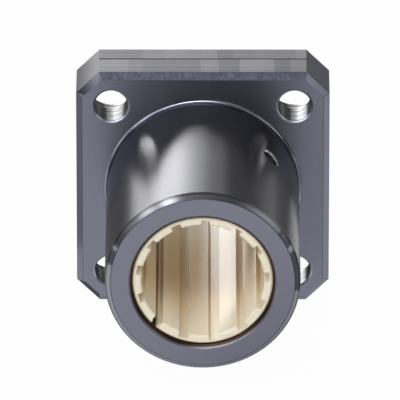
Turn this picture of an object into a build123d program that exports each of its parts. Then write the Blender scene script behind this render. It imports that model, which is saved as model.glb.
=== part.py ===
from build123d import *
import math
import os

os.makedirs("parts", exist_ok=True)

# Flanged plain linear bearing for a round shaft: a one-piece housing with a square flange and a round barrel,
# and a split sliding liner with lengthwise lands. All sizes are in millimetres and degrees.
#
# The shaft runs along Y. The barrel points to -Y and the flange lies on the +Y side of the seat, which is the
# flange's flat face round the barrel. The origin is the centre of the seat. +Z is up.

# Shaft and liner
shaft_diameter = 20.0
running_clearance = 0.03  # between the shaft and the liner's lands, on the radius
liner_wall = 1.5  # from the shaft to the liner's outside
liner_web = 0.57  # what is left of the wall under a groove
groove_count = 13
groove_width = 1.7
slit_width = 1.2  # the slit through the floor of one groove
slit_angle = 225.0  # from +X towards +Z
liner_recess = 0.65  # how far each end of the liner lies inside the bore
liner_edge = 0.3  # lead-in on the lands and on the liner's outside
liner_fit = 0.05  # between the liner and the bore, on the radius

# Nub that holds the liner, and its hole in the barrel
nub_diameter = 2.8
nub_height = 1.8  # above the liner's outside
nub_inset = 21.5  # from the flange's back to the nub's centre
nub_edge = 0.3
nub_fit = 0.1  # between the nub and its hole, on the radius
nub_hole_edge = 0.25

# Barrel
overall_length = 45.0
barrel_wall = 4.5  # from the liner's outside to the barrel's outside
nose_bevel = 0.9
bore_bevel = 0.6
root_fillet = 0.5

# Flange
flange_thickness = 10.0
flange_margin = 5.0  # from the barrel's outside to each side of the square
seat_bevel = 1.0
back_edge = 0.2
pass_line_inset = 3.9  # from the back to the line where two milling cuts meet on each side
pass_line_width = 0.32
pass_line_depth = 0.08

# Screw holes, drilled from the seat and counterbored from the back
screw_margin = 5.5  # from the barrel's outside to the screws' centres
corner_margin = 5.5  # from the screws' centres to the trimmed corners
screw_hole_diameter = 5.5
screw_hole_edge = 0.3
counterbore_diameter = 8.8
counterbore_depth = 5.1

# Radii and places that follow from the sizes above
land_radius = shaft_diameter / 2 + running_clearance
liner_radius = shaft_diameter / 2 + liner_wall
groove_radius = liner_radius - liner_web
bore_radius = liner_radius + liner_fit
barrel_radius = liner_radius + barrel_wall
nub_radius = nub_diameter / 2
nub_hole_radius = nub_radius + nub_fit
nub_top_radius = liner_radius + nub_height
barrel_length = overall_length - flange_thickness
liner_length = overall_length - 2 * liner_recess
nub_y = flange_thickness - nub_inset
flange_side = barrel_radius + flange_margin
screw_circle_radius = barrel_radius + screw_margin
screw_spacing = math.sqrt(2) * screw_circle_radius
corner_side = screw_circle_radius + corner_margin
nub_angle = slit_angle + 180

# Planes: the seat faces -Y, towards the barrel's nose
seat_plane = Plane.XZ
flange_back_plane = Plane.XZ.offset(-flange_thickness)
drill_plane = Plane(origin=(0, flange_thickness, 0), x_dir=(1, 0, 0), z_dir=(0, 1, 0))
liner_back_plane = Plane.XZ.offset(liner_recess - flange_thickness)
nub_direction = (math.cos(math.radians(nub_angle)), 0, math.sin(math.radians(nub_angle)))
nub_plane = Plane(origin=(0, nub_y, 0), x_dir=(0, 1, 0), z_dir=nub_direction)


def round_edges(part, radius, y):
    """Round edges of one radius that lie in the plane at one Y."""
    on_plane = part.edges().filter_by(GeomType.CIRCLE).filter_by_position(Axis.Y, y - 0.01, y + 0.01)
    return on_plane.filter_by(lambda edge: abs(edge.radius - radius) < 0.01)


# Housing
with BuildPart() as housing:
    # Square flange, its corners trimmed by a square turned by 45 degrees
    with BuildSketch(flange_back_plane):
        Rectangle(2 * flange_side, 2 * flange_side)
        Rectangle(2 * corner_side, 2 * corner_side, rotation=45, mode=Mode.INTERSECT)
    extrude(amount=flange_thickness)
    chamfer(housing.faces().sort_by(Axis.Y)[0].edges(), length=seat_bevel)
    chamfer(housing.faces().sort_by(Axis.Y)[-1].edges(), length=back_edge)

    # Round barrel with a filleted root and a bevelled nose
    with BuildSketch(seat_plane):
        Circle(barrel_radius)
    extrude(amount=barrel_length)
    fillet(round_edges(housing, barrel_radius, 0), radius=root_fillet)
    chamfer(round_edges(housing, barrel_radius, -barrel_length), length=nose_bevel)

    # Bore, bevelled at both mouths
    with Locations(drill_plane):
        Hole(bore_radius)
    chamfer(round_edges(housing, bore_radius, -barrel_length), length=bore_bevel)
    chamfer(round_edges(housing, bore_radius, flange_thickness), length=bore_bevel)

    # Screw holes, counterbored from the back and broken at the seat
    with Locations(drill_plane):
        with GridLocations(screw_spacing, screw_spacing, 2, 2):
            CounterBoreHole(screw_hole_diameter / 2, counterbore_diameter / 2, counterbore_depth)
    chamfer(round_edges(housing, screw_hole_diameter / 2, 0), length=screw_hole_edge)

    # Radial hole for the liner's nub, through one side of the barrel
    with BuildSketch(nub_plane):
        Circle(nub_hole_radius)
    extrude(amount=2 * barrel_radius, mode=Mode.SUBTRACT)
    mouth = Vector(0, nub_y, 0) + Vector(nub_direction) * barrel_radius
    chamfer(housing.edges().sort_by_distance(mouth)[0], length=nub_hole_edge)

    # Fine line along each side of the flange, where two milling cuts meet
    line_y = flange_thickness - pass_line_inset
    for quarter in range(4):
        turn = math.radians(90 * quarter)
        along_side = (math.cos(turn), 0, math.sin(turn))
        with BuildSketch(Plane(origin=(0, 0, 0), x_dir=(0, 1, 0), z_dir=along_side)):
            with BuildLine():
                Polyline(
                    (line_y - pass_line_width, flange_side + pass_line_depth),
                    (line_y, flange_side - pass_line_depth),
                    (line_y + pass_line_width, flange_side + pass_line_depth),
                    close=True,
                )
            make_face()
        extrude(amount=flange_side, both=True, mode=Mode.SUBTRACT)
housing.part.label = "housing"
export_step(housing.part, "parts/housing.step")

# Liner
with BuildPart() as liner:
    # Ring with lands and grooves, slit through the floor of one groove
    with BuildSketch(liner_back_plane):
        Circle(liner_radius)
        Circle(land_radius, mode=Mode.SUBTRACT)
        with PolarLocations(groove_radius / 2, groove_count, start_angle=slit_angle):
            Rectangle(groove_radius, groove_width, mode=Mode.SUBTRACT)
        with PolarLocations(liner_radius, 1, start_angle=slit_angle):
            Rectangle(2 * liner_wall, slit_width, mode=Mode.SUBTRACT)
    extrude(amount=liner_length)

    # Lead-ins at both ends
    for end_y in (flange_thickness - liner_recess, liner_recess - barrel_length):
        chamfer(round_edges(liner, liner_radius, end_y), length=liner_edge)
        chamfer(round_edges(liner, land_radius, end_y), length=liner_edge)

    # Round nub on the outside, opposite the slit
    with BuildSketch(nub_plane.offset(groove_radius)):
        Circle(nub_radius)
    extrude(amount=nub_top_radius - groove_radius)
    nub_top = Vector(0, nub_y, 0) + Vector(nub_direction) * nub_top_radius
    nub_rims = liner.edges().filter_by(GeomType.CIRCLE).sort_by_distance(nub_top)
    chamfer(nub_rims[0], length=nub_edge)
liner.part.label = "liner"
export_step(liner.part, "parts/liner.step")
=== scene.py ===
import math

import bpy
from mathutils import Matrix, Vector


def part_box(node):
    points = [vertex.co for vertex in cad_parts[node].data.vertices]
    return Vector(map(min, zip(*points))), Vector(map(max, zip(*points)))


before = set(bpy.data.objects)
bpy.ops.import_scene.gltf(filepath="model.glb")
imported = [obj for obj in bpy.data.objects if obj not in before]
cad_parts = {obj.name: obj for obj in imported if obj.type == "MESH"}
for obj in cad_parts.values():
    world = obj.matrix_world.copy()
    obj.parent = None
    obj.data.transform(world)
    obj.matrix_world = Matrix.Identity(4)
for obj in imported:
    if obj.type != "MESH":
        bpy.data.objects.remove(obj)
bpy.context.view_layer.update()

# Flanged plain linear bearing, seen from above its barrel's nose. The shaft's axis is Y, the barrel points
# to -Y, the seat is the plane y = 0 and +Z is up. Lengths are in millimetres, and Blender gets metres.
# Angles are in degrees.

MM = 0.001

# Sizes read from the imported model
housing_low, housing_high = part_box("housing")
HALF_SIDE = housing_high[0] / MM
BACK = housing_high[1] / MM
NOSE = housing_low[1] / MM
FLOOR = housing_low[2] / MM

# Other sizes of the housing that its finish follows
BARREL_RADIUS = 16.0
NOSE_BEVEL = 0.9
ROOT_FILLET = 0.5
SEAT_BEVEL = 1.0
SCREW_MARGIN = 5.5  # from the barrel's outside to the screws' centres
CORNER_MARGIN = 5.5  # from the screws' centres to the trimmed corners
SCREW_HOLE_RADIUS = 2.75
HOLE_EDGE = 0.3
COUNTERBORE_RADIUS = 4.4
COUNTERBORE_DEPTH = 5.1
PASS_LINE_INSET = 3.9  # from the back to the line between the two milling cuts
NUB_INSET = 21.5  # from the back to the nub's centre
NUB_HOLE_RADIUS = 1.5

# Places that follow from the sizes above
SCREW_CIRCLE_RADIUS = BARREL_RADIUS + SCREW_MARGIN
SCREW_PLACE = SCREW_CIRCLE_RADIUS / math.sqrt(2)
CORNER_REACH = (SCREW_CIRCLE_RADIUS + CORNER_MARGIN) * math.sqrt(2)
COUNTERBORE_FLOOR = BACK - COUNTERBORE_DEPTH
PASS_LINE = BACK - PASS_LINE_INSET
NUB_PLACE = BACK - NUB_INSET

# How sharply one finish gives way to the next, and how far the finish of a wall reaches past its radius
BLUR = 0.05
ROOT_BLUR = 0.2
WALL_SLACK = 0.02

# Fades between finishes on the flange, as reaches. The reach is HALF_SIDE on the sides and trimmed corners.
BEVEL_FADE = (HALF_SIDE - 1.6, HALF_SIDE - 1.5)  # seat inside, bevel outside
SIDE_FADE = (HALF_SIDE - 0.3, HALF_SIDE - 0.2)  # bevel inside, milled side outside
CORNER_FADE = (0.0, 0.1)  # how far the corner's own reach is above the side's

# Fades between finishes on the barrel, as radii, and one as a depth behind the nose
NOSE_FADE = (15.2, 15.7)  # tinted nose inside, neutral barrel outside
BORE_FADE = (11.8, 12.0)  # bore inside, with painted shade and a painted reflection of the liner
RIM_FADE = (14.0, 14.5)  # the nose's edges, rounder than the others, outside
RIM_DEPTH_FADE = (2.0, 3.0)  # the same edges in front
NUB_HOLE_START = 12.4  # radius where the wall of the nub's hole begins

# Climb: how far up an upper corner a place is, as z less the distance across. The corner's flat runs from
# about -4 at its lower end to 4 at its upper end, and the top of the flange lies past that.
CORNER_END = 4.0
CORNER_BEVEL_START = -3.0
TOP_FADE = (4.4, 4.6)

# Marks left by the tools, and the grain of the metal
BANDS_PER_MM = 0.33
CUT_LINES_PER_MM = 2.0
FLECKS_PER_MM = 3.0
FACE_RINGS_PER_MM = 2.2
BARREL_RINGS_PER_MM = 1.8
HOLE_RINGS_PER_MM = 1.6
GRAIN_PER_MM = 3.0
REAR_CUT_SHIFT = 97.3  # gives the rear cut bands of its own
FLECK_STRETCH = (1.0, 0.3, 0.3)

# The part of a noise's range that a finish makes use of: past it the finish stays as it is at that end
NARROW_NOISE = (0.3, 0.7)
WIDE_NOISE = (0.25, 0.75)
FLECK_NOISE = (0.4, 0.7)

# Half widths of the painted shade lines along edges and between the cuts, and of the painted highlight line
# in the fillet
EDGE_LINE = 0.12
SEAT_LINE_DEPTH = 0.2
PASS_LINE_WIDTH = 0.35
NOSE_LINE = 0.6
RING_LINE = 0.15
FILLET_HIGHLIGHT = 0.25
FILLET_HIGHLIGHT_INSET = 0.15  # from the barrel's wall to the middle of the painted highlight

# Tones: how pale a place is, as a multiple of its colour. A pair holds the tones at the ends of a range.
BAND_TONES = (0.82, 1.16)
CUT_LINE_TONES = (-0.22, 0.22)  # added to the tone of the band
# Painted shading: paler towards the left along the top and bottom, and towards the bottom along the left and
# right sides
PAINTED_SIDE_SHADING_TONES = (1.12, 0.92)
FLECK_TONES = (0.9, 1.8)
FACE_RING_TONES = (0.98, 1.02)
BARREL_RING_TONES = (0.95, 1.05)
HOLE_RING_TONES = (0.7, 1.3)
FILLET_HIGHLIGHT_TONES = (0.7, 2.1)  # painted shade beside the painted highlight, and the highlight in its middle
# Painted highlights on the broken edges of the screw holes and of the nub's hole
HOLE_EDGE_HIGHLIGHT_TONE = 2.8
NUB_EDGE_HIGHLIGHT_TONE = 1.8
# Painted shade in the groove along the line between the two cuts
PASS_LINE_SHADE_TONE = 0.5
# Painted shade along the edges, and a painted highlight over the nose's bevel
EDGE_SHADE_TONE = 0.6
NOSE_BEVEL_HIGHLIGHT_TONE = 1.3
NOSE_SHADE_TONE = 0.35

# Painted sheen and shade on the corners: tones at the lower and the upper end of an upper corner, each on
# the left and on the right. The lower corners have the tones of the lower end all over.
CORNER_FLAT_SHEEN_LOW = (0.62, 0.7)
CORNER_FLAT_SHEEN_HIGH = (1.4, 0.74)
CORNER_BEVEL_SHEEN_LOW = (0.3, 1.1)
CORNER_BEVEL_SHEEN_HIGH = (1.6, 1.35)

# Colours of the housing
TINTED = (0.197, 0.201, 0.25, 1.0)  # faces, bevels and fillet
NEUTRAL = (0.262, 0.263, 0.274, 1.0)  # barrel and milled sides
TOP_BEVEL_COLOUR = (0.16, 0.162, 0.225, 1.0)  # bevel along the top, darker and bluer than the other bevels
BARE = (0.26, 0.26, 0.26, 1.0)  # walls of the screw holes and the nub's hole
BORE_SHADE_AND_REFLECTION = (0.055, 0.032, 0.02, 1.0)  # bore and its mouth: painted shade in the gap round the liner, and a painted reflection of the liner's cream
RIGHT_CORNER_PAINTED_TINT = 0.5  # painted reflection tint: how far the flats of the right corners go back to the tinted colour
GRAZING_TINT = (0.55, 0.55, 0.57, 1.0)  # gloss seen at a low angle

# Roughness of the housing
FACE_ROUGHNESS = 0.3
BARREL_ROUGHNESS = 0.2
BEVEL_ROUGHNESS = 0.2
SIDE_ROUGHNESS = 0.42
FILLET_ROUGHNESS = 0.18
NOSE_BEVEL_ROUGHNESS = 0.1
HOLE_ROUGHNESS = 0.22
ROUGHNESS_GRAIN = (-0.02, 0.02)

# How far edges are rounded in the shading, and how the rings in the screw holes stand out
SOFT_EDGE = 0.12
NOSE_SOFT_EDGE = 0.18
LINER_SOFT_EDGE = 0.15
HOLE_RING_STRENGTH = 0.3
HOLE_RING_DEPTH = 0.05

# The liner's polymer: the two colours that its grain runs between, on the ends and, with painted shade, deep
# inside the bore
END_COLOURS = ((0.93, 0.85, 0.67, 1.0), (0.95, 0.87, 0.70, 1.0))
BORE_SHADE_COLOURS = ((0.84, 0.685, 0.45, 1.0), (0.87, 0.72, 0.49, 1.0))
SHADE_DEEPENING = (1.0, 16.0)  # distances from the nearer end of the housing between which painted shade deepens the colour
POLYMER_STRETCH = (1.0, 0.05, 1.0)
POLYMER_GRAIN_PER_MM = 0.7
POLYMER_ROUGHNESS = (0.14, 0.18)
SOAK_WEIGHT = 0.1  # share of the light that soaks in
SOAK_RADII = (1.0, 0.6, 0.3)  # how far its red, green and blue spread, as shares of the soak's depth
SOAK_DEPTH = 0.6

# Floor: matt, and white to the camera apart from a share that keeps the object's shadow
FLOOR_REACH = 6000.0
FLOOR_SHADE = 0.8
FLOOR_IN_VIEW = 0.98

# In gloss a painted shadow greys the floor round a place before the nose, where the object shades it.
# The three fades are how many times a millimetre from there counts to the left, to the right and along the
# shaft's axis.
PAINTED_SHADOW_PLACE = (12.0, -46.0)
FADE_TO_LEFT = 1.4
FADE_TO_RIGHT = 0.3
FADE_ALONG = 0.75
SHADE_FADE = (5.0, 40.0)  # distances, so counted, between which the painted shadow fades out
FLOOR_IN_GLOSS = (0.42, 0.99)  # share of white in the painted shadow's middle, and away from it

# Cards that paint shade into the metal's reflections, just above the floor: name, left, right, front and
# back edge, and material
CARD_HEIGHT = 0.5
LYING_CARDS = (
    ("card_behind", -90, 26, 12, 70, "grey_card"),
    ("card_behind_right", 42, 120, 12, 70, "dim_card"),
    ("card_far_behind", -900, 900, 70, 5900, "grey_card"),
    ("card_left", -500, -105, -200, -14, "grey_card"),
    ("card_near_left", -500, -40, -14, 12, "dim_card"),
    ("card_right", 45, 500, -90, -14, "grey_card"),
)

# Corners of one more card that paints shade into the reflections, which stands on the right in front
CARD_FRONT_RIGHT = ((60, -260, -20), (230, -90, -20), (230, -90, 60), (60, -260, 60))

# Materials of the cards: name, shade of grey, and share of white in gloss
CARD_MATERIALS = (
    ("black_card", 0.03, 0.0),
    ("grey_card", 0.3, 0.0),
    ("dim_card", 0.3, 0.4),
)

# Softboxes: name, azimuth, elevation, width and height as angles, and level. Azimuth 0 is behind the object
# and 90 on its right. The bank behind shows as the bright arch along the barrel's top.
LAMP_DISTANCE = 900.0
BANK_SIZE = (17, 19)
SOFTBOXES = (
    ("bank_behind", -20, -2, *BANK_SIZE, 5.6),
    ("bank_behind", -19, 7, *BANK_SIZE, 5.4),
    ("bank_behind", -19, 16, *BANK_SIZE, 4.8),
    ("bank_behind", -11, 16, *BANK_SIZE, 12.4),
    ("bank_behind", -11, 25, *BANK_SIZE, 1.2),
    ("bank_behind", -3, 16, *BANK_SIZE, 7.2),
    ("bank_behind", -3, 25, *BANK_SIZE, 0.9),
    ("bank_behind", 5, 16, *BANK_SIZE, 4.6),
    ("front_left_near", 212, 18, 32, 32, 1.8),
    ("front_near_left", 207, 41, 38, 26, 1.6),
    ("front_left", 236, 19, 44, 40, 1.0),
    ("front_left_high", 243, 37, 30, 26, 2.2),
    ("front_left_top", 230, 51, 28, 20, 3.9),
    ("front_high", 188, 50, 46, 22, 11.0),
    ("left_high", 258, 35, 25, 25, 2.2),
    ("left_behind", 325, 10, 40, 40, 2.1),
    ("right_behind", 45, 8, 40, 36, 2.4),
    ("right", 110, 28, 50, 60, 0.65),
    ("front_low", 154, 4, 60, 16, 6.8),
    ("front_low_left", 235, 4, 40, 16, 1.8),
    ("above", 0, 85, 80, 80, 0.35),
)
WORLD_LEVEL = 0.17

# Camera, as fitted to the photograph: far away, in line with the shaft's axis and 26 degrees above it
CAMERA_HEIGHT_ANGLE = 25.983
CAMERA_SIDE_ANGLE = 0.062
CAMERA_DISTANCE = 1703.45
CAMERA_TARGET = Vector((-0.459, -12.0, 3.791))
CAMERA_LENS = 929.0
CAMERA_CLIP = (10.0, 100000.0)


class Nodes:
    """Shader nodes under construction. A method that adds nodes returns the socket of their result."""

    def __init__(self, tree):
        self.nodes = tree.nodes
        self.links = tree.links

    def give(self, socket, value):
        """Link a socket to another one, or set its value."""
        if isinstance(value, bpy.types.NodeSocket):
            self.links.new(value, socket)
        else:
            socket.default_value = value

    def node(self, kind, settings, inputs, output=0):
        """A node with its settings and its inputs given by name or place."""
        made = self.nodes.new(kind)
        for key, value in settings.items():
            setattr(made, key, value)
        for key, value in inputs.items():
            self.give(made.inputs[key], value)
        return made.outputs[output]

    def maths(self, operation, *values):
        """One Math node."""
        return self.node("ShaderNodeMath", {"operation": operation}, dict(enumerate(values)))

    def plus(self, a, b):
        """The sum of two numbers."""
        return self.maths("ADD", a, b)

    def minus(self, a, b):
        """The first number less the second."""
        return self.maths("SUBTRACT", a, b)

    def times(self, a, b):
        """The product of two numbers."""
        return self.maths("MULTIPLY", a, b)

    def larger(self, a, b):
        """The larger of two numbers."""
        return self.maths("MAXIMUM", a, b)

    def length(self, a, b):
        """The length of a vector with two components."""
        return self.maths("SQRT", self.plus(self.times(a, a), self.times(b, b)))

    def position(self):
        """The point on the surface in millimetres, from Object coordinates."""
        metres = self.node("ShaderNodeTexCoord", {}, {}, "Object")
        return self.node("ShaderNodeVectorMath", {"operation": "SCALE"}, {0: metres, "Scale": 1 / MM})

    def split(self, vector):
        """The three components of a vector."""
        parts = self.nodes.new("ShaderNodeSeparateXYZ")
        self.links.new(vector, parts.inputs[0])
        return parts.outputs[0], parts.outputs[1], parts.outputs[2]

    def stretched(self, vector, scale):
        """A vector scaled by its own number along each axis."""
        return self.node("ShaderNodeVectorMath", {"operation": "MULTIPLY"}, {0: vector, 1: scale})

    def step(self, value, low, high, start=0.0, end=1.0):
        """A smooth step: start where value is below low, end where it is above high."""
        inputs = {"Value": value, "From Min": low, "From Max": high, "To Min": start, "To Max": end}
        return self.node("ShaderNodeMapRange", {"interpolation_type": "SMOOTHSTEP"}, inputs)

    def above(self, value, border, blur=BLUR):
        """0 where value is below a border, and 1 from a blur above it."""
        return self.step(value, border, border + blur)

    def below(self, value, border, blur=BLUR):
        """1 where value is below a border, and 0 from a blur above it."""
        return self.step(value, border, border + blur, 1.0, 0.0)

    def near(self, value, place, width):
        """1 where value is at a place, and 0 from a width away."""
        return self.step(self.maths("ABSOLUTE", self.minus(value, place)), 0.0, width, 1.0, 0.0)

    def noise(self, vector, scale, detail, roughness=0.5):
        """Noise from 0 to 1 about 0.5."""
        inputs = {"Vector": vector, "Scale": scale, "Detail": detail, "Roughness": roughness}
        return self.node("ShaderNodeTexNoise", {}, inputs)

    def rings(self, place, per_mm):
        """Noise from 0 to 1 about 0.5 that changes with one number alone."""
        inputs = {"W": place, "Scale": per_mm, "Detail": 3.0, "Roughness": 0.6}
        return self.node("ShaderNodeTexNoise", {"noise_dimensions": "1D"}, inputs)

    def cells(self, place, per_mm):
        """Bands of uneven width along one number, each with its own value from 0 to 1."""
        inputs = {"W": place, "Scale": per_mm, "Randomness": 1.0}
        colour = self.node("ShaderNodeTexVoronoi", {"voronoi_dimensions": "1D"}, inputs, "Color")
        return self.split(colour)[0]

    def blend(self, factor, a, b):
        """A number between a and b."""
        return self.node("ShaderNodeMix", {"data_type": "FLOAT"}, {0: factor, 2: a, 3: b})

    def colours(self, factor, a, b):
        """A colour between a and b."""
        return self.node("ShaderNodeMix", {"data_type": "RGBA"}, {0: factor, 6: a, 7: b}, 2)

    def laid_over(self, base, layers):
        """A number with others laid over it in turn, each where its place is 1."""
        for place, value in layers:
            base = self.blend(place, base, value)
        return base


class Finish(Nodes):
    """A material under construction."""

    def __init__(self, name):
        self.material = bpy.data.materials.new(name)
        self.material.use_nodes = True
        super().__init__(self.material.node_tree)
        self.shader = self.nodes["Principled BSDF"]

    def set(self, name, value):
        """Give an input of the shader its value or link."""
        self.give(self.shader.inputs[name], value)


class HousingFinish(Finish):
    """The housing's material. Names that start with on or in are places: 1 there and 0 elsewhere."""

    def __init__(self, name):
        super().__init__(name)
        self.point = self.position()
        self.x, self.y, self.z = self.split(self.point)
        self.radius = self.length(self.x, self.z)
        self.across = self.maths("ABSOLUTE", self.x)
        self.up = self.maths("ABSOLUTE", self.z)
        self.find_flange()
        self.find_barrel()
        self.find_screw_holes()
        self.find_nub_hole()

    def find_flange(self):
        """The bevel round the seat, the flange's sides and its trimmed corners."""
        to_side = self.larger(self.across, self.up)
        to_corner = self.minus(self.plus(self.across, self.up), CORNER_REACH - HALF_SIDE)
        self.reach = self.larger(to_side, to_corner)
        self.on_bevel = self.times(self.above(self.y, 0.0), self.step(self.reach, *BEVEL_FADE))
        behind_bevel = self.above(self.y, SEAT_BEVEL - BLUR)
        self.on_side = self.times(behind_bevel, self.step(self.reach, *SIDE_FADE))
        self.on_corner = self.step(self.minus(to_corner, to_side), *CORNER_FADE)
        self.on_right = self.maths("GREATER_THAN", self.x, 0.0)
        self.climb = self.minus(self.z, self.across)
        self.on_top = self.step(self.climb, *TOP_FADE)

    def find_barrel(self):
        """The barrel's wall, the fillet at its root, the nose's bevel and rim, and the bore."""
        before_root = self.below(self.y, -ROOT_FILLET, ROOT_BLUR)
        self.on_barrel = self.times(before_root, self.step(self.radius, *NOSE_FADE))
        by_wall = self.below(self.radius, BARREL_RADIUS + ROOT_FILLET - WALL_SLACK)
        self.on_fillet = self.times(by_wall, self.above(self.y, -ROOT_FILLET))
        by_nose = self.below(self.y, NOSE + NOSE_BEVEL - BLUR)
        outside_nose = self.above(self.radius, BARREL_RADIUS - NOSE_BEVEL - BLUR)
        self.on_nose_bevel = self.times(by_nose, outside_nose)
        in_front = self.step(self.minus(self.y, NOSE), *RIM_DEPTH_FADE, 1.0, 0.0)
        self.on_rim = self.times(in_front, self.step(self.radius, *RIM_FADE))
        self.in_bore = self.step(self.radius, *BORE_FADE, 1.0, 0.0)

    def find_screw_holes(self):
        """The walls of the screw holes and their counterbores, and the broken edges at the seat."""
        to_screw = self.length(self.minus(self.across, SCREW_PLACE), self.minus(self.up, SCREW_PLACE))
        in_drilled = self.below(to_screw, SCREW_HOLE_RADIUS + WALL_SLACK)
        in_wide = self.below(to_screw, COUNTERBORE_RADIUS + WALL_SLACK)
        in_counterbore = self.times(in_wide, self.above(self.y, COUNTERBORE_FLOOR - BLUR))
        self.in_hole = self.larger(in_drilled, in_counterbore)
        round_hole = self.near(to_screw, SCREW_HOLE_RADIUS + HOLE_EDGE / 2, HOLE_EDGE)
        self.on_hole_edge = self.times(round_hole, self.near(self.y, HOLE_EDGE / 2, HOLE_EDGE))

    def find_nub_hole(self):
        """The hole for the liner's nub, on the diagonal up to the right, and its broken edge."""
        sideways = self.times(self.minus(self.x, self.z), math.sqrt(0.5))
        from_nub = self.length(self.minus(self.y, NUB_PLACE), sideways)
        on_its_side = self.above(self.plus(self.x, self.z), 0.0)
        by_nub = self.times(on_its_side, self.above(self.radius, NUB_HOLE_START))
        round_nub = self.near(from_nub, NUB_HOLE_RADIUS + HOLE_EDGE / 2, HOLE_EDGE)
        self.on_nub_edge = self.times(round_nub, by_nub)
        self.in_nub_hole = self.times(self.below(from_nub, NUB_HOLE_RADIUS), by_nub)

    def milled_sides(self):
        """Tone of the flange's sides: two cuts, each with bands across it and fine lines along it, under
        painted shading, with a painted sheen on the corners and painted shade along the line between the
        cuts.
        """
        # Along a side: x on the top and bottom, z on the left and right
        along = self.blend(self.step(self.minus(self.up, self.across), -0.5, 0.5), self.z, self.x)
        on_rear_cut = self.maths("GREATER_THAN", self.y, PASS_LINE)
        bands = self.cells(self.plus(self.times(on_rear_cut, REAR_CUT_SHIFT), along), BANDS_PER_MM)
        lines = self.rings(self.y, CUT_LINES_PER_MM)
        band_tone = self.step(bands, 0.0, 1.0, *BAND_TONES)
        tone = self.plus(band_tone, self.step(lines, *NARROW_NOISE, *CUT_LINE_TONES))
        seat_half = HALF_SIDE - SEAT_BEVEL
        # Painted shading across each side
        tone = self.times(tone, self.step(along, -seat_half, seat_half, *PAINTED_SIDE_SHADING_TONES))
        # Painted sheen and shade on the corner flats
        sheen_low_end = self.blend(self.on_right, *CORNER_FLAT_SHEEN_LOW)
        sheen_high_end = self.blend(self.on_right, *CORNER_FLAT_SHEEN_HIGH)
        corner_flat_sheen = self.step(self.climb, -CORNER_END, CORNER_END, sheen_low_end, sheen_high_end)
        tone = self.blend(self.on_corner, tone, corner_flat_sheen)
        # Painted shade darkens the groove along the line between the two cuts
        by_pass_line = self.near(self.y, PASS_LINE, PASS_LINE_WIDTH)
        on_pass_line = self.times(by_pass_line, self.minus(1.0, self.on_corner))
        return self.times(tone, self.blend(on_pass_line, 1.0, PASS_LINE_SHADE_TONE))

    def seat_bevel(self):
        """Tone of the bevel round the seat: flecks along the top, and a painted sheen that makes it paler
        towards a corner's upper end.
        """
        sheen_low_end = self.blend(self.on_right, *CORNER_BEVEL_SHEEN_LOW)
        sheen_high_end = self.blend(self.on_right, *CORNER_BEVEL_SHEEN_HIGH)
        corner_bevel_sheen = self.step(self.climb, CORNER_BEVEL_START, CORNER_END, sheen_low_end, sheen_high_end)
        tone = self.blend(self.on_corner, 1.0, corner_bevel_sheen)
        flecks = self.noise(self.stretched(self.point, FLECK_STRETCH), FLECKS_PER_MM, 3.0, 0.7)
        return self.blend(self.on_top, tone, self.step(flecks, *FLECK_NOISE, *FLECK_TONES))

    def painted_edge_light(self, tone):
        """A tone with painted shade in thin dark lines along the seat's bevel and the nose's bevel, and a
        painted highlight that makes the nose's bevel paler.
        """
        on_outer_edge = self.times(self.on_bevel, self.near(self.y, SEAT_BEVEL, EDGE_LINE))
        by_seat_edge = self.near(self.reach, HALF_SIDE - SEAT_BEVEL, EDGE_LINE)
        on_seat_edge = self.times(by_seat_edge, self.near(self.y, 0.0, SEAT_LINE_DEPTH))
        on_nose_line = self.times(self.near(self.radius, BARREL_RADIUS, NOSE_LINE), self.on_nose_bevel)
        by_ring_line = self.near(self.radius, BARREL_RADIUS - NOSE_BEVEL, RING_LINE)
        on_ring_line = self.times(by_ring_line, self.near(self.y, NOSE, RING_LINE))
        # Painted shade in the dark lines, and a painted highlight over the nose's bevel
        shades = (
            (self.larger(on_outer_edge, on_seat_edge), EDGE_SHADE_TONE),
            (self.on_nose_bevel, NOSE_BEVEL_HIGHLIGHT_TONE),
            (self.larger(on_nose_line, on_ring_line), NOSE_SHADE_TONE),
        )
        for place, shade in shades:
            tone = self.times(tone, self.blend(place, 1.0, shade))
        return tone

    def tone(self, hole_rings):
        """How pale each place is, as a multiple of its colour. Turned faces and walls have faint rings."""
        face_rings = self.step(self.rings(self.radius, FACE_RINGS_PER_MM), *WIDE_NOISE, *FACE_RING_TONES)
        barrel_rings = self.step(self.rings(self.y, BARREL_RINGS_PER_MM), *WIDE_NOISE, *BARREL_RING_TONES)
        # Painted highlight: a pale line along the middle of the fillet, with painted shade beside it
        on_fillet_highlight = self.near(self.radius, BARREL_RADIUS + FILLET_HIGHLIGHT_INSET, FILLET_HIGHLIGHT)
        layers = (
            (self.on_barrel, barrel_rings),
            (self.on_bevel, self.seat_bevel()),
            (self.on_side, self.milled_sides()),
            (self.on_fillet, self.blend(on_fillet_highlight, *FILLET_HIGHLIGHT_TONES)),
            # Painted highlights on the broken edges of the holes
            (self.on_hole_edge, HOLE_EDGE_HIGHLIGHT_TONE),
            (self.on_nub_edge, NUB_EDGE_HIGHLIGHT_TONE),
            (self.in_hole, hole_rings),
        )
        return self.painted_edge_light(self.laid_over(face_rings, layers))

    def colour(self):
        """The metal's own colour in each place, before its tone."""
        colour = self.colours(self.times(self.on_bevel, self.on_top), TINTED, TOP_BEVEL_COLOUR)
        colour = self.colours(self.larger(self.on_barrel, self.on_side), colour, NEUTRAL)
        # Painted reflection tint on the right corners
        painted_right_corner_tint = self.times(self.times(self.on_corner, self.on_right), RIGHT_CORNER_PAINTED_TINT)
        colour = self.colours(painted_right_corner_tint, colour, TINTED)
        # Painted shade and reflection of the liner in the bore's mouth
        colour = self.colours(self.in_bore, colour, BORE_SHADE_AND_REFLECTION)
        return self.colours(self.larger(self.in_hole, self.in_nub_hole), colour, BARE)

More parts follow.
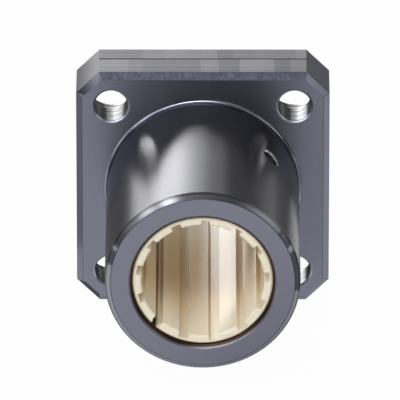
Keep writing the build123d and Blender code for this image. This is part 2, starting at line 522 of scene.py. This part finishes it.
    def roughness(self):
        """Satin faces, glossier turned walls and bevels, and duller milled sides, all with some grain."""
        layers = (
            (self.on_barrel, BARREL_ROUGHNESS),
            (self.on_bevel, BEVEL_ROUGHNESS),
            (self.on_side, SIDE_ROUGHNESS),
            (self.on_fillet, FILLET_ROUGHNESS),
            (self.on_nose_bevel, NOSE_BEVEL_ROUGHNESS),
            (self.in_hole, HOLE_ROUGHNESS),
        )
        grain = self.step(self.noise(self.point, GRAIN_PER_MM, 3.0), *NARROW_NOISE, *ROUGHNESS_GRAIN)
        return self.plus(self.laid_over(FACE_ROUGHNESS, layers), grain)

    def normal(self, hole_rings):
        """Rounded edges, the nose's more than the others, and rings cut into the walls of the holes."""
        edge = self.blend(self.on_rim, SOFT_EDGE * MM, NOSE_SOFT_EDGE * MM)
        rounded = self.node("ShaderNodeBevel", {"samples": 6}, {"Radius": edge})
        inputs = {
            "Height": hole_rings,
            "Strength": self.times(self.in_hole, HOLE_RING_STRENGTH),
            "Distance": HOLE_RING_DEPTH * MM,
            "Normal": rounded,
        }
        return self.node("ShaderNodeBump", {}, inputs)


def anodised_aluminium():
    """Dark grey anodised aluminium: turned barrel, satin faces, milled sides, bare walls in the holes."""
    finish = HousingFinish("dark_anodised_aluminium")
    hole_rings = finish.step(finish.rings(finish.y, HOLE_RINGS_PER_MM), *NARROW_NOISE, *HOLE_RING_TONES)
    inputs = {0: finish.colour(), "Scale": finish.tone(hole_rings)}
    finish.set("Base Color", finish.node("ShaderNodeVectorMath", {"operation": "SCALE"}, inputs))
    finish.set("Metallic", 1.0)
    finish.set("Specular Tint", GRAZING_TINT)
    finish.set("Roughness", finish.roughness())
    finish.set("Normal", finish.normal(hole_rings))
    return finish.material


def cream_polymer():
    """Cream moulded polymer with a satin skin, with painted shade that makes it darker and warmer inside the
    bore than on the ends.
    """
    finish = Finish("cream_polymer")
    position = finish.position()
    y = finish.split(position)[1]
    from_ends = finish.maths("MINIMUM", finish.minus(y, NOSE), finish.minus(BACK, y))
    grain = finish.noise(finish.stretched(position, POLYMER_STRETCH), POLYMER_GRAIN_PER_MM, 2.0)
    ends = finish.colours(grain, *END_COLOURS)
    # Painted shade: the colour darker and warmer deep inside the bore
    bore = finish.colours(grain, *BORE_SHADE_COLOURS)
    finish.set("Base Color", finish.colours(finish.step(from_ends, *SHADE_DEEPENING), ends, bore))
    finish.set("Roughness", finish.step(grain, *NARROW_NOISE, *POLYMER_ROUGHNESS))
    finish.set("Subsurface Weight", SOAK_WEIGHT)
    finish.set("Subsurface Radius", SOAK_RADII)
    finish.set("Subsurface Scale", SOAK_DEPTH * MM)
    finish.set("Normal", finish.node("ShaderNodeBevel", {"samples": 4}, {"Radius": LINER_SOFT_EDGE * MM}))
    return finish.material


def show_white(finish, in_view, in_gloss):
    """Let a matt surface look white in the given shares: to the camera, and in gloss and through glass."""
    finish.set("Roughness", 1.0)
    finish.set("Specular IOR Level", 0.0)
    path = finish.nodes.new("ShaderNodeLightPath").outputs
    gloss = finish.times(finish.larger(path["Is Glossy Ray"], path["Is Transmission Ray"]), in_gloss)
    white = finish.larger(gloss, finish.times(path["Is Camera Ray"], in_view))
    glow = finish.node("ShaderNodeEmission", {}, {"Strength": 1.0})
    mixed = finish.node("ShaderNodeMixShader", {}, {0: white, 1: finish.shader.outputs[0], 2: glow})
    finish.links.new(mixed, finish.nodes["Material Output"].inputs[0])


def grey(shade):
    """A colour without tint."""
    return (shade, shade, shade, 1.0)


def pale_floor():
    """White floor, with a painted shadow in gloss round the place before the nose that the object shades."""
    finish = Finish("pale_floor")
    finish.set("Base Color", grey(FLOOR_SHADE))
    place = finish.split(finish.position())
    to_right = finish.minus(place[0], PAINTED_SHADOW_PLACE[0])
    across = finish.larger(finish.times(to_right, -FADE_TO_LEFT), finish.times(to_right, FADE_TO_RIGHT))
    along = finish.times(finish.minus(place[1], PAINTED_SHADOW_PLACE[1]), FADE_ALONG)
    away = finish.length(across, along)
    show_white(finish, FLOOR_IN_VIEW, finish.step(away, *SHADE_FADE, *FLOOR_IN_GLOSS))
    return finish.material


def card_material(name, shade, in_gloss):
    """Matt card of one shade of grey, which looks white in gloss in the given share."""
    finish = Finish(name)
    finish.set("Base Color", grey(shade))
    show_white(finish, 0.0, in_gloss)
    return finish.material


def place_camera():
    """The camera on its line through the target, looking at it."""
    height = math.radians(CAMERA_HEIGHT_ANGLE)
    side = math.radians(CAMERA_SIDE_ANGLE)
    level = math.cos(height)
    back = Vector((level * math.sin(side), -level * math.cos(side), math.sin(height)))
    camera = bpy.data.objects.new("camera", bpy.data.cameras.new("camera"))
    camera.data.lens = CAMERA_LENS
    camera.data.clip_start = CAMERA_CLIP[0] * MM
    camera.data.clip_end = CAMERA_CLIP[1] * MM
    camera.location = (CAMERA_TARGET + CAMERA_DISTANCE * back) * MM
    camera.rotation_euler = (-back).to_track_quat("-Z", "Y").to_euler()
    bpy.context.scene.collection.objects.link(camera)
    bpy.context.scene.camera = camera


def direction(azimuth, elevation):
    """A unit vector; azimuth 0 is +Y, behind the object, and 90 is +X."""
    turn = math.radians(azimuth)
    rise = math.radians(elevation)
    return Vector((math.sin(turn) * math.cos(rise), math.cos(turn) * math.cos(rise), math.sin(rise)))


def feather(lamp):
    """Let a flat lamp fade smoothly from its middle to nothing at its edges."""
    lamp.use_nodes = True
    face = Nodes(lamp.node_tree)
    fades = []
    for place in face.split(face.node("ShaderNodeNewGeometry", {}, {}, "Parametric"))[:2]:
        from_middle = face.maths("ABSOLUTE", face.minus(place, 0.5))
        fades.append(face.step(from_middle, 0.0, 0.5, 1.0, 0.0))
    face.give(face.nodes["Emission"].inputs["Strength"], face.times(*fades))


def softbox(name, azimuth, elevation, width, height, level):
    """A soft lamp that faces the object. Its middle is as bright as level times white."""
    away = direction(azimuth, elevation)
    lamp = bpy.data.lights.new(name, "AREA")
    lamp.shape = "RECTANGLE"
    lamp.size = 2 * LAMP_DISTANCE * MM * math.tan(math.radians(width / 2))
    lamp.size_y = 2 * LAMP_DISTANCE * MM * math.tan(math.radians(height / 2))
    lamp.energy = level * lamp.size * lamp.size_y * math.pi
    feather(lamp)
    placed = bpy.data.objects.new(name, lamp)
    placed.location = away * LAMP_DISTANCE * MM
    placed.rotation_euler = (-away).to_track_quat("-Z", "Y").to_euler()
    placed.visible_camera = False
    bpy.context.scene.collection.objects.link(placed)


def sheet(name, corners, material):
    """A flat sheet with four corners."""
    mesh = bpy.data.meshes.new(name)
    mesh.from_pydata([Vector(corner) * MM for corner in corners], [], [(0, 1, 2, 3)])
    mesh.materials.append(material)
    placed = bpy.data.objects.new(name, mesh)
    bpy.context.scene.collection.objects.link(placed)
    return placed


def lying_corners(left, right, front, back, height):
    """The corners of a level rectangle."""
    return ((left, front, height), (right, front, height), (right, back, height), (left, back, height))


def card(name, corners, material):
    """A card that the metal mirrors, painting shade into its reflections; the camera doesn't see it, and it
    neither lights nor shades.
    """
    placed = sheet(name, corners, material)
    placed.visible_camera = False
    placed.visible_diffuse = False
    placed.visible_shadow = False


def make_world(level):
    """Plain grey surroundings."""
    world = bpy.data.worlds.new("studio")
    world.use_nodes = True
    background = world.node_tree.nodes["Background"]
    background.inputs["Color"].default_value = grey(1.0)
    background.inputs["Strength"].default_value = level
    bpy.context.scene.world = world


def dress(node, material):
    """Give a CAD node its finish."""
    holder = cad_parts[node]
    for slot in holder.material_slots:
        slot.material = material


dress("housing", anodised_aluminium())
dress("liner", cream_polymer())

place_camera()
sheet("floor", lying_corners(-FLOOR_REACH, FLOOR_REACH, -FLOOR_REACH, FLOOR_REACH, FLOOR), pale_floor())
make_world(WORLD_LEVEL)

card_materials = {}
for name, shade, in_gloss in CARD_MATERIALS:
    card_materials[name] = card_material(name, shade, in_gloss)
for name, left, right, front, back, kind in LYING_CARDS:
    card(name, lying_corners(left, right, front, back, FLOOR + CARD_HEIGHT), card_materials[kind])
card("card_front_right", CARD_FRONT_RIGHT, card_materials["black_card"])

for name, azimuth, elevation, width, height, level in SOFTBOXES:
    softbox(name, azimuth, elevation, width, height, level)

bpy.context.scene.view_settings.view_transform = "Standard"
